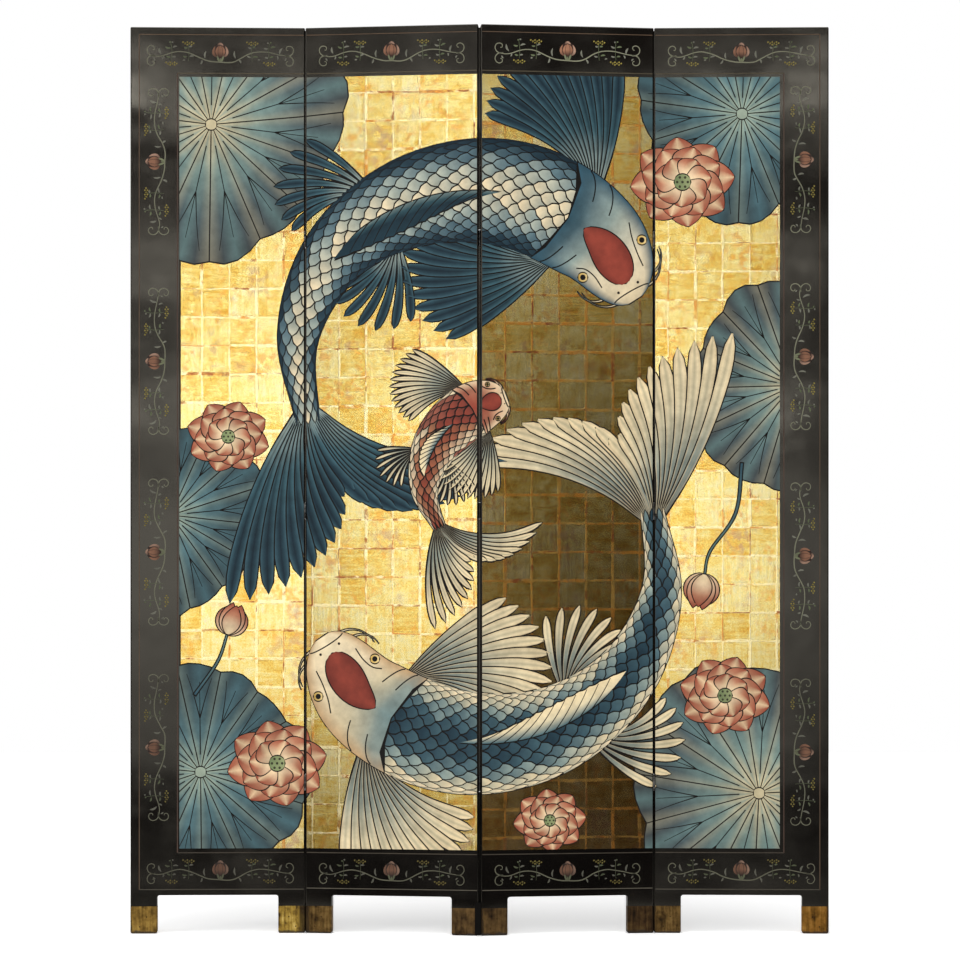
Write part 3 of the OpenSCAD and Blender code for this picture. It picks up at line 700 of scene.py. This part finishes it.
# what the two large carps share
large = {"tailRays": 11, "rowPitch": 23, "scaleWidth": 36, "lean": 1, "lift": 0.0, "patch": None}
redCap = {"cap": "#963f2f", "capRim": "#5f2019"}
carps = [
    {"spine": [(1190, 1490), (1090, 1640), (900, 1735), (680, 1725), (490, 1610), (395, 1410), (420, 1190)],
     "girth": 128, "sweep": 0.7, "phase": 0.4,
     "palette": ramp("#f0dab1", "#b0b6a6", "#657e83", "#25414d", "#132e3a"),
     "headAlong": ["#e5d0a7", "#f2dfb9", "#9daba0", "#3b6172"], "headRim": "#2e5364", "headShade": "#244450",
     **large, **redCap, **blueFin},
    {"spine": [(450, 700), (560, 545), (760, 455), (980, 475), (1160, 600), (1250, 800), (1225, 1020)],
     "girth": 124, "sweep": 0.65, "phase": 2.1,
     "palette": ramp("#23404c", "#48666e", "#9ba99e", "#e5d2a9", "#f3dcb3"),
     "headAlong": ["#f0ddb5", "#f2dfb9", "#d1c39f", "#819894"], "headRim": "#c39f72", "headShade": "#6c8383",
     **large, **redCap, **creamFin},
    {"spine": [(885, 1262), (800, 1228), (722, 1148), (695, 1045), (735, 945)],
     "girth": 64, "tailRays": 9, "sweep": 0.8, "rowPitch": 17, "scaleWidth": 24, "phase": 0.0, "lean": -1,
     "lift": 0.6, "palette": ramp("#98462f", "#b37450", "#e5c8a1", "#f3dcb3"), "patch": "#963f2f",
     "headAlong": ["#f0ddb5", "#d3a480", "#98462f", "#98462f"], "headRim": "#e5c8a1", "headShade": "#963f2f",
     **redCap, **creamFin}]
for centre, radius, phase, tone in (((190, 1905), 300, 0.3, "blue"), ((1480, 330), 300, 1.1, "blue"),
                                    ((165, 380), 245, 2.0, "teal"), ((1440, 1930), 240, 0.7, "teal"),
                                    ((1560, 1290), 235, 1.7, "blue"), ((95, 985), 215, 0.1, "teal")):
    addLotusLeaf(centre, radius, phase, lotus[tone])
for centre, radius, phase in (((345, 400), 120, 0.2), ((1300, 1770), 125, 0.9), ((230, 1170), 100, 0.5),
                              ((1400, 560), 110, 1.3), ((985, 268), 88, 0.1)):
    addBlossom(centre, radius, phase)
addBud([(1440, 1110), (1425, 990), (1365, 900), (1352, 845)], 42)
addBud([(150, 560), (205, 640), (228, 705)], 38)
for carp in carps:
    addCarp(carp)
print("the picture has", len(strokes), "strokes")


def cutToWindow(mesh, low, high, window):
    # cuts a stroke at the gilt ground's edges and closes it there
    work = bmesh.new()
    work.from_mesh(mesh)
    for axis, sign, edge in ((0, -1, window[0]), (0, 1, window[1]), (1, -1, window[2]), (1, 1, window[3])):
        if (low[axis] if sign < 0 else -high[axis]) >= sign * -edge:
            continue
        place, aim = [0, 0, 0], [0, 0, 0]
        place[2 * axis], aim[2 * axis] = edge * mm, sign
        bmesh.ops.bisect_plane(work, geom=work.verts[:] + work.edges[:] + work.faces[:], dist=1e-7,
                               plane_co=place, plane_no=aim, clear_outer=True)
        rims = [e for e in work.edges if e.is_boundary]
        if rims:
            bmesh.ops.edgeloop_fill(work, edges=rims)
    trimmed = bpy.data.meshes.new("trimmed")
    if work.faces:
        bmesh.ops.recalc_face_normals(work, faces=work.faces[:])
        work.to_mesh(trimmed)
    work.free()
    return trimmed


def layOnPanel(i, name, material, window):
    # gathers the strokes that lie in the window on panel i into one piece
    pieces = []
    for mesh, low, high in strokes:
        if high[0] <= window[0] or low[0] >= window[1] or high[1] <= window[2] or low[1] >= window[3]:
            continue
        inside = low[0] >= window[0] and high[0] <= window[1] and low[1] >= window[2] and high[1] <= window[3]
        part = mesh.copy() if inside else cutToWindow(mesh, low, high, window)
        if len(part.polygons):
            pieces.append(bpy.data.objects.new(name, part))
    bpy.ops.object.select_all(action="DESELECT")
    for piece in pieces:
        bpy.context.collection.objects.link(piece)
        piece.select_set(True)
    bpy.context.view_layer.objects.active = pieces[0]
    bpy.ops.object.join()
    whole = bpy.context.object
    whole.name = name
    whole.data.transform(panelPlaces[i]["place"] @ Matrix.Translation((-flatStart(i) * mm, 0, 0)))
    dress(whole, material)
    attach(whole, f"panel_{i}")


def carvedPaint():
    # Mineral colours bound with lacquer, laid in the carved ground: satin, uneven, rubbed on the ridges.
    material, tree = startMaterial("carvedPaint")
    coords = ownCoords(tree)
    paint = addNode(tree, "Attribute", attribute_name="paint").outputs["Color"]
    bright = spread(tree, clouds(tree, coords, 34, 6, 0.6), 0.3, 0.7, 0.78, 1.14)
    bump = addNode(tree, "Bump", {"Height": clouds(tree, coords, 600), "Strength": 0.3, "Distance": 0.0001})
    return finished(material, "BsdfPrincipled", {
        "Base Color": vectors(tree, "MULTIPLY", paint, bright), "Roughness": 0.52, "Specular IOR Level": 0.22,
        "Normal": bump})


paintMaterial = carvedPaint()
for i in panels:
    spot = panelPlaces[i]
    layOnPanel(i, f"picture_{i}", paintMaterial, (flatStart(i) + spot["groundLeft"] / mm,
                                                  flatStart(i) + spot["groundRight"] / mm,
                                                  spot["groundLow"] / mm, spot["groundHigh"] / mm))
print("the picture lies on the panels")

# the vine ornament and the ruled lines of the border, in mm

vine = {"stem": "#83836c", "leaf": "#7a7a6c", "green": "#66704f", "floret": "#93843a", "petal": "#98694f",
        "heart": "#b08a74", "petalRim": "#341f18", "calyx": "#7b8060", "outerRule": "#5c4836",
        "innerRule": "#4e3a30", "railRule": "#4d4535", "lowRule": "#544f44", "fieldRule": "#3c352b",
        "fieldEdge": "#2a2118", "rubbedTo": "#231e18", "height": 0.14, "ruleHeight": 0.1,
        "wave": [(-162, 15), (-147, 12.5), (-133, 15), (-114, 21.5), (-95, 24.5), (-77, 22), (-62, 16.5),
                 (-47, 9.5), (-31, 3.6), (-15, 0.7), (0, 0), (17, -0.8), (32, 1), (46, 7.5), (61, 16),
                 (77, 22.5), (95, 24.8), (114, 23.2), (135, 19), (150, 16), (162, 15)],
        # an open curl: out from the stem's end, over, and back in with a hook
        "curl": [(-8, 0.5), (0, 0), (7.5, 4), (11, 12), (8.5, 20), (1.5, 23.5), (-5.5, 20.5), (-6, 14.5),
                 (-1.5, 13)],
        # the flower, a round rosebud: a dark bed, outer petals folded round, a lip, the bud's own petals
        "rosebud": [([(0, 8), (0, 26), (0, 44)], 18, 0.5, "petalRim"),
                    ([(-5, 11), (-14.5, 17), (-16.2, 27), (-12, 37.5)], 2.7, 0.6, "petal"),
                    ([(5, 11), (14.5, 17), (16.2, 27), (12, 37.5)], 2.7, 0.6, "heart"),
                    ([(-7.5, 39), (0, 43.5), (7.5, 39)], 2.3, 0.5, "heart"),
                    ([(-2, 11.5), (-7.5, 24), (-3, 38)], 4.3, 0.5, "petal"),
                    ([(2, 11.5), (7.5, 24), (3, 38)], 4.3, 0.5, "petal"),
                    ([(0, 10.5), (0, 25), (0, 39.5)], 5.0, 0.5, "petal")],
        "petalStep": 0.024, "petalRimWidth": 0.9,
        # leaves on the stem: place, angle, reach and width
        "leaves": ((36, 9, 1.6, 17, 2.0), (43, 5, -1.1, 11, 2.0), (139, 19, 1.25, 17, 2.3),
                   (133, 15, -1.2, 9, 1.7), (152, 3, 0.9, 7, 1.6)),
        # sprigs across the stem: place, ends, the florets' height, and each pair of leaves' height and reach
        "sprigs": ((75, (41, 2), 45.5, ((34, 8.5), (11.5, 11))),
                   (115, (44, 3), -2.5, ((46, 4), (33, 12), (11, 9)))),
        # how far each motif's paint is darkened towards the dark ground, by wear and, on the low and side
        # motifs, by painted shade that grows towards the floor: over the picture, under it, and up the outer
        # stiles
        "topWorn": {1: 0.42, 2: 0.3, 3: 0.05, 4: 0.32}, "lowWorn": {1: 0.68, 2: 0.62, 3: 0.58, 4: 0.56},
        "sideWorn": {1: (0.3, 0.3, 0.42, 0.58), 4: (0.3, 0.25, 0.3, 0.5)},
        "sideHeights": {1: (1817, 1347, 898, 438), 4: (1822, 1358, 889, 427)},
        "overGold": 35, "overRail": 36, "besideGold": 34, "shifted": {1: 6, 2: 0, 3: 0, 4: 0}}


def rubbed(name, worn):
    # paint mixed towards the dark ground: rubbed thin, and on the low motifs painted shade as well
    colour = shaded([vine[name]] * 2 if isinstance(name, str) else [vine[n] for n in name])
    return lambda a, b: (1 - worn) * colour(a, b) + worn * np.array(linear(vine["rubbedTo"]))


def addVine(origin, turned, worn):
    # one ornament: a waving stem with curled ends, a flower over its middle, and sprigs beside it
    c, s = math.cos(turned), math.sin(turned)
    jog = iter(luck.uniform(-1.0, 1.0, 400))

    def put(points):
        return smoothLine([(origin[0] + c * x - s * y, origin[1] + s * x + c * y) for x, y in points], 8)

    def draw(points, half, colour, slab="scale", level=0.0):
        strip(put(points), half, vine["height"] + level, rubbed(colour, worn), slab, edged=False)

    def tapered(wide):
        return lambda q: wide * (1 - 0.3 * q)

    def addLeaf(x, y, angle, reach, wide, colour="leaf"):
        angle += 0.16 * next(jog)
        reach *= 1 + 0.16 * next(jog)
        dx, dy = reach * math.cos(angle), reach * math.sin(angle)
        middle = x + dx / 2 - dy * 0.12, y + dy / 2 + dx * 0.12
        draw([(x, y), middle, (x + dx, y + dy)], lens(wide, 0.7), colour)

    draw([(x, y + 0.5 * next(jog)) for x, y in vine["wave"]], lambda q: 0.9 + 0.45 * np.sin(math.pi * q),
         "stem", "body")
    for way in (-1, 1):
        for up in (1, -1):
            curl = [(way * (161 + x), 15 + up * y + 0.4 * next(jog)) for x, y in vine["curl"]]
            draw(curl, tapered(1.25), "stem", "long")
    for k, (points, wide, blunt, colour) in enumerate(vine["rosebud"]):
        line, half, level = put(points), lens(wide, blunt), vine["height"] + vine["petalStep"] * k
        inner = rubbed(["petalRim", colour, colour] if k else colour, worn)
        if k > 3:  # the bud's own petals have a dark rim
            strip(line, lambda q, half=half: half(q) + vine["petalRimWidth"], level, rubbed("petalRim", worn),
                  "short", edged=False)
        strip(line, half, level + vine["petalStep"] / 2, inner, "short", edged=False)
    for x, y in ((-8, 15), (8, 15), (0, 10)):
        draw([(0.3 * x, 0), (0.6 * x, y * 0.45), (x, y)], lens(2.3 if x else 1.4, 0.6), "calyx", level=0.2)
    for side in (-1, 1):
        for x, y, angle, reach, wide in vine["leaves"]:
            addLeaf(side * x, y + next(jog), angle if side > 0 else math.pi - angle, reach, wide)
        for x, ends, florets, pairs in vine["sprigs"]:
            x *= side
            sprig = [(x + next(jog), ends[0]), (x - 1.5 * side, sum(ends) / 2), (x, ends[1])]
            draw(sprig, tapered(0.5), "green")
            for y, reach in pairs:
                for way in (-1, 1):
                    tilt = 0.2 + 0.12 * next(jog)
                    tilt = tilt if way > 0 else math.pi - tilt
                    addLeaf(x + way * (0.2 * reach + next(jog)), y + next(jog), tilt, reach, 1.9,
                            "green" if way * side > 0 else "leaf")
            for k in range(10):
                row = k // 6
                u, z = x - 12.5 + 5 * (k - 6 * row) + 5 * row, florets + 1.3 * (-1) ** k - 3.4 * row
                draw([(u - 1.5, z - 1.6), (u + 1.5, z + 1.6)], lens(1.7, 0.6), "floret")
        addLeaf(side * 88, 4 + next(jog), 0.2, 6, 1.7)


# how far the rules lie in from the panel's edges and out from the gold
rules = {"side": 3.2, "outer": 21, "top": 17.5, "low": 16, "outerLow": 13.5, "overGold": 8.5, "underGold": 10,
         "besideGold": {1: -4.5, 4: 9.5}, "lap": 1.6}


def rule(u0, z0, u1, z1, colour, half, worn=0.0):
    line = smoothLine([(u0, z0), ((u0 + u1) / 2, (z0 + z1) / 2), (u1, z1)], 2)
    strip(line, lambda q: half + 0 * q, vine["ruleHeight"], rubbed(colour, worn), "line", edged=False)


strokes.clear()
for i in panels:
    spot = panelPlaces[i]
    start, isOuter = flatStart(i), i in (1, 4)
    end, high, railLow = start + spot["width"] / mm, spot["high"] / mm, spot["low"] / mm
    goldLow, goldHigh = spot["groundLow"] / mm, spot["groundHigh"] / mm
    left, right = start + spot["groundLeft"] / mm, start + spot["groundRight"] / mm
    middle = start + spot["width"] / mm / 2 + vine["shifted"][i]
    addVine((middle, goldHigh + vine["overGold"]), 0, vine["topWorn"][i])
    # the motif under the picture is darker: wear and painted shade
    addVine((middle, railLow + vine["overRail"]), 0, vine["lowWorn"][i])
    # the rules stop at the outer stiles' own rules
    top, low = high - rules["top"], railLow + (rules["outerLow"] if isOuter else rules["low"])
    overGold, underGold = goldHigh + rules["overGold"], goldLow - rules["underGold"]
    outer, inner = [start + rules["side"], end - rules["side"]], [start + rules["side"], end - rules["side"]]
    if i == 1:
        outer[0], inner[0] = start + rules["outer"], left + rules["besideGold"][i]
    if i == 4:
        outer[1], inner[1] = end - rules["outer"], right + rules["besideGold"][i]
    rule(outer[0], top, outer[1], top, "outerRule", 0.9)
    rule(outer[0], low, outer[1], low, "lowRule", 1.1, 0.3 if isOuter else 0.1)
    rule(inner[0], overGold, inner[1], overGold, "railRule", 1.2)
    rule(inner[0], underGold, inner[1], underGold, "fieldRule", 1.2)
    if isOuter:
        k, side = (0, -1) if i == 1 else (1, 1)
        rule(outer[k], low, outer[k], top, "outerRule", 1.1, 0.25)
        rule(inner[k], underGold, inner[k], overGold, "innerRule", 1.2)
        # the side motifs darken downwards: wear and painted shade
        for z, worn in zip(vine["sideHeights"][i], vine["sideWorn"][i]):
            addVine(((left, right)[k] + side * vine["besideGold"], z), -side * math.pi / 2, worn)
    if i == 1:
        # the lacquer laps over the gold's left edge
        rule(left + rules["lap"], goldLow, left + rules["lap"], goldHigh, "fieldEdge", 1.8)
    layOnPanel(i, f"border_ornament_{i}", paintMaterial, (start, end, railLow, high))
    strokes.clear()
print("the border has its ornament")

# a black sheet over each joint between the shoes, on the side away from the hinges, is painted shade that
# darkens the gap

gapShade = {"thick": 0.0003, "off": 0.0001, "glued": 0.008, "lip": 0.0052, "frontLip": 0.0065, "low": 0.0015,
         "high": 0.078, "black": "#100e0c"}


def blackCloth():
    # Matt black with little shine: painted shade over the gaps between the shoes.
    material, tree = startMaterial("blackCloth")
    return finished(material, "BsdfPrincipled", {"Base Color": gapShade["black"], "Roughness": 0.85,
                                                 "Specular IOR Level": 0.1})


gapShadeMaterial = blackCloth()
for i in panels[:3]:
    spot = panelPlaces[i]
    # the middle joint has its hinges behind, the other two in front
    y = -gapShade["off"] - gapShade["thick"] if i == 2 else spot["depth"] + gapShade["off"]
    lip = gapShade["frontLip"] if i == 2 else gapShade["lip"]
    bpy.ops.object.select_all(action="DESELECT")
    bpy.ops.mesh.primitive_cube_add(size=1, location=(0.5, 0.5, 0.5))
    bpy.ops.object.transform_apply(location=True)
    ribbon = bpy.context.object
    ribbon.name = f"joint_gap_shade_{i}"
    ribbon.scale = (gapShade["glued"] + lip, gapShade["thick"], gapShade["high"] - gapShade["low"])
    ribbon.location = (spot["width"] - gapShade["glued"], y, gapShade["low"])
    bpy.ops.object.transform_apply(location=True, scale=True)
    ribbon.data.transform(spot["place"])
    dress(ribbon, gapShadeMaterial)
    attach(ribbon, f"panel_{i}")
# the black sheets over the joints are painted shade
print("cloth covers the joints between the shoes")

# studio

studio = {"camera": (0.001, -6.586, 0.89), "lens": 104.97, "shift": 0.0786, "boxY": -7.3, "air": 0.6,
          "floor": "#f4f3f1", "bleached": (1.5, 1.5, 1.5, 1), "aim": (0, 0, 1.1),
          # light boxes in front: left, right, bottom and top in metres, then the brightness, where 1 is white
          "front": {"crownBox": (-3.3, 1.0, 3.85, 5.2, 2.8), "highDim": (-2.9, 1.3, 3.34, 3.6, 0.45),
                    "highLeft": (-1.5, -1.13, 3.17, 3.29, 13.0), "highRight": (1.13, 1.5, 3.17, 3.29, 11.5),
                    "highFar": (-2.9, -1.5, 3.02, 3.18, 5.8), "highBox": (-1.13, 1.13, 3.02, 3.18, 5.6),
                    "upperBox": (-2.9, 1.2, 2.2, 2.46, 3.1), "streakBox": (-1.4, -1.08, 2.2, 2.3, 6.0),
                    "middleDim": (-2.9, 1.3, 1.82, 2.16, 0.35), "middleBox": (-2.9, 1.05, 1.5, 1.74, 4.2),
                    "middleRight": (1.05, 1.4, 1.5, 1.74, 1.0), "wideBox": (-2.9, 1.05, 0.75, 1.22, 2.0),
                    "wideUpper": (-2.9, 1.05, 1.22, 1.4, 0.8), "wideRight": (1.05, 1.4, 0.75, 1.4, 1.1),
                    "lowerBox": (-2.9, 1.05, 0.42, 0.75, 1.8), "lowerRight": (1.05, 1.4, 0.42, 0.75, 1.15),
                    "lowBox": (-2.9, 1.05, -0.2, 0.42, 1.2), "lowRight": (1.05, 1.4, -0.2, 0.42, 0.8),
                    "bronzeBox": (1.7, 2.9, 2.45, 3.0, 0.95), "bronzeTop": (1.7, 2.9, 3.0, 3.24, 2.0),
                    "footLeft": (-1.45, -0.7, -1.0, -0.7, 0.35), "footRight": (0.4, 1.4, -1.0, -0.66, 0.4),
                    "pitBox": (-2.2, 1.2, -2.6, -1.2, 4.0)},
          # boxes that face the screen: place, width, height and brightness
          "around": {"leftBox": ((-5.2, -2.6, 2.4), 2.4, 2.4, 3.0), "topBox": ((0, -1.2, 5.2), 4, 3, 2.2),
                     "backBox": ((0.8, 6.5, 2.8), 3.5, 2.6, 1.3)},
          # dark cloths that the camera never sees: the lacquer mirrors them between the front boxes
          "cloths": {"upperCloth": ((0, -7.8, 5.7), (90, 0, 0), 16, 7.4, "#433a32"),
                     "middleCloth": ((0, -7.8, 0.9), (90, 0, 0), 16, 2.2, "#241f1a"),
                     "lowerCloth": ((0, -7.8, -2.2), (90, 0, 0), 16, 4.0, "#181512"),
                     "rightCloth": ((8.0, -4.2, 2.6), (90, 0, 90), 7.2, 13.6, "#26211d"),
                     "leftCloth": ((-8.0, -4.2, 2.6), (90, 0, 90), 7.2, 13.6, "#3d352e"),
                     "topCloth": ((0, -4.2, 9.4), (0, 0, 0), 16, 7.2, "#3d352e"),
                     "pitCloth": ((0, -4.3, -4.2), (0, 0, 0), 16, 7.0, "#1a1714")}}


def addBox(name, place, turned, width, height, brightness):
    bpy.ops.object.light_add(type="AREA", location=place, rotation=turned)
    box = bpy.context.object
    box.name = name
    box.data.shape = "RECTANGLE"
    box.data.size, box.data.size_y = width, height
    box.data.energy = brightness * math.pi * width * height
    box.visible_camera = False


def addSheet(name, place, turned, width, height, paint):
    bpy.ops.mesh.primitive_plane_add(size=1, location=place, rotation=[math.radians(t) for t in turned])
    sheet = bpy.context.object
    sheet.name = name
    sheet.scale = (width, height, 1)
    dress(sheet, paint)
    return sheet


def paleFloor():
    # A matt pale floor, which the camera sees bleached to the backdrop's white with its shadows kept.
    material, tree = startMaterial("paleFloor")
    isSeen = addNode(tree, "LightPath").outputs["Is Camera Ray"]
    colour = blended(tree, isSeen, studio["floor"], studio["bleached"])
    return finished(material, "BsdfDiffuse", {"Color": colour})


def addWorld():
    # white where it is seen, mirrored or looked through, and dimmer as a light
    world = bpy.data.worlds.new("studioAir")
    bpy.context.scene.world = world
    world.use_nodes = True
    tree = world.node_tree
    tree.nodes.clear()
    ray = addNode(tree, "LightPath").outputs
    seen = maths(tree, "MAXIMUM", ray["Is Camera Ray"], ray["Is Glossy Ray"])
    seen = maths(tree, "MAXIMUM", seen, ray["Is Transmission Ray"])
    air, white = [addNode(tree, "Background", {"Color": (1, 1, 1, 1), "Strength": strength})
                  for strength in (studio["air"], 1.0)]
    both = addNode(tree, "MixShader", {0: seen, 1: air, 2: white})
    addNode(tree, "OutputWorld", {"Surface": both})


def addStudio():
    bpy.ops.object.select_all(action="DESELECT")
    bpy.ops.object.camera_add(location=studio["camera"], rotation=(math.pi / 2, 0, 0))
    camera = bpy.context.object
    camera.data.lens, camera.data.shift_y = studio["lens"], studio["shift"]
    bpy.context.scene.camera = camera
    floor, cloths = addSheet("floor", (0, 2.75, 0), (0, 0, 0), 9, 6.5, paleFloor()), []
    for name, (place, turned, width, height, shade) in studio["cloths"].items():
        felt = finished(startMaterial(name)[0], "BsdfDiffuse", {"Color": shade})
        cloth = addSheet(name, place, turned, width, height, felt)
        cloth.visible_camera = cloth.visible_diffuse = cloth.visible_shadow = False
        cloths.append(cloth)
    for name, (x0, x1, z0, z1, brightness) in studio["front"].items():
        place = ((x0 + x1) / 2, studio["boxY"], (z0 + z1) / 2)
        addBox(name, place, (math.pi / 2, 0, 0), x1 - x0, z1 - z0, brightness)
    for name, (place, width, height, brightness) in studio["around"].items():
        aim = (Vector(studio["aim"]) - Vector(place)).to_track_quat("-Z", "Y").to_euler()
        addBox(name, place, aim, width, height, brightness)
    addWorld()
    bpy.context.scene.view_settings.view_transform = "Standard"


addStudio()
print("studio is set")
